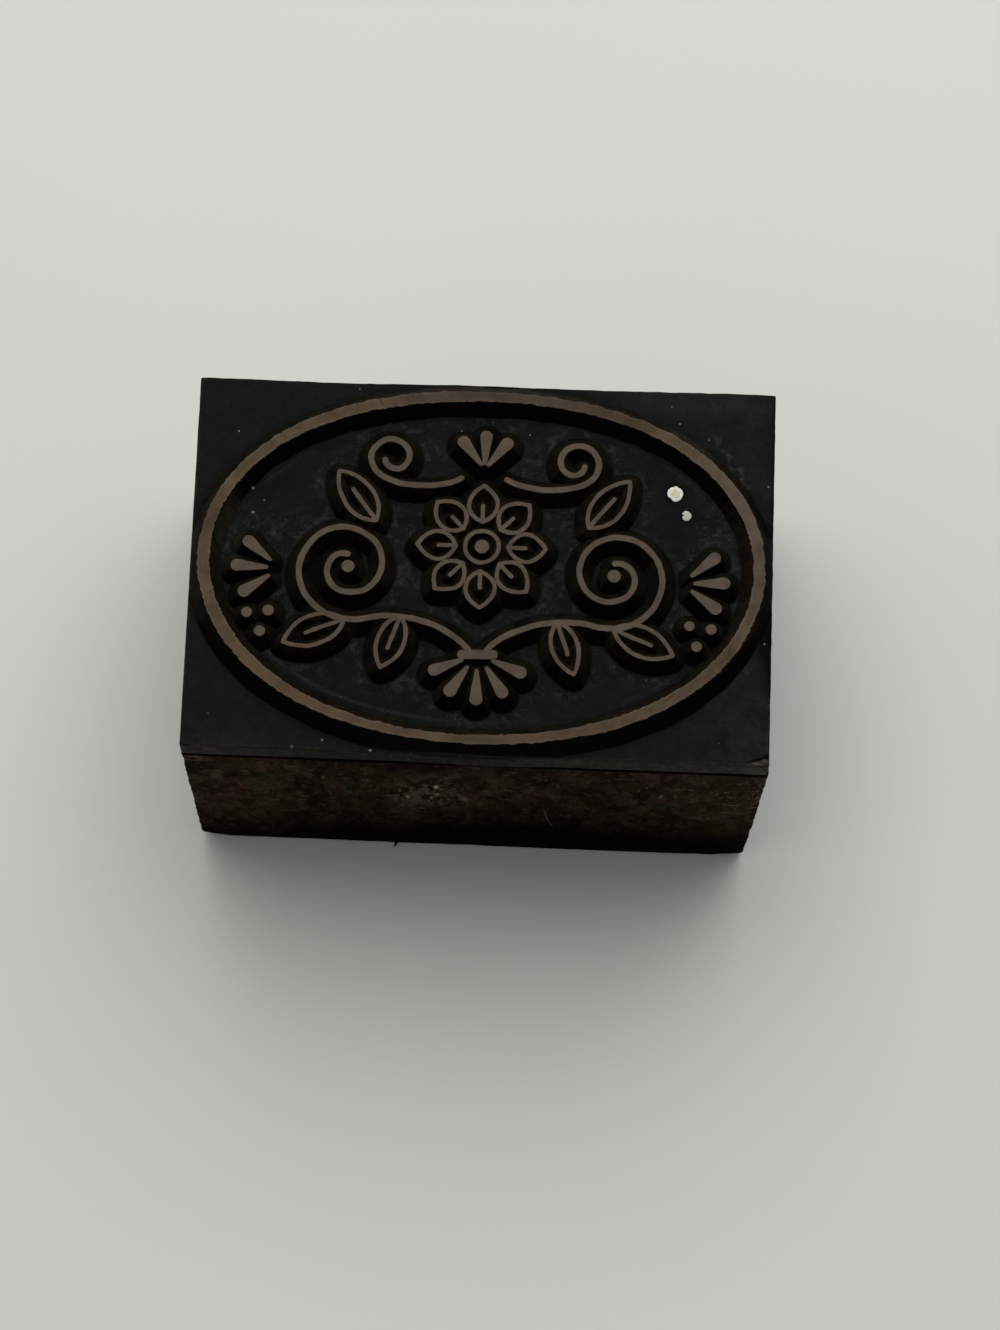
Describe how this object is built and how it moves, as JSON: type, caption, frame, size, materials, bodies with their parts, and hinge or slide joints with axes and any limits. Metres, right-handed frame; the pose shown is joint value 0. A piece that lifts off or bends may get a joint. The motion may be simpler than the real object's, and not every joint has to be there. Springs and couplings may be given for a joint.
{
  "type": "letterpress printing block",
  "caption": "Type-high letterpress block: an etched copper plate with an oval rule and a raised floral design, bonded on a wooden mount.",
  "frame": {"origin": "middle of the foot, on the surface that the block stands on", "axes": "+Z from the foot to the printing face; -Y towards the foot of the design, which faces the reader; +X to the reader's right"},
  "size_m": [0.038, 0.0254, 0.0233],
  "materials": {
    "mount_wood": "dark, ink-stained hardwood with long grain, worn at the edges",
    "film": "thin dark adhesive film",
    "plate_metal": "etched copper: dull brown printing face on an ink-blackened floor",
    "dried_paint": "dried cream paint"
  },
  "bodies": {
    "root": {"wood_block": "mount_wood", "mounting_film": "film", "etched_plate": "plate_metal", "paint_spots": "dried_paint"}
  },
  "joints": []
}
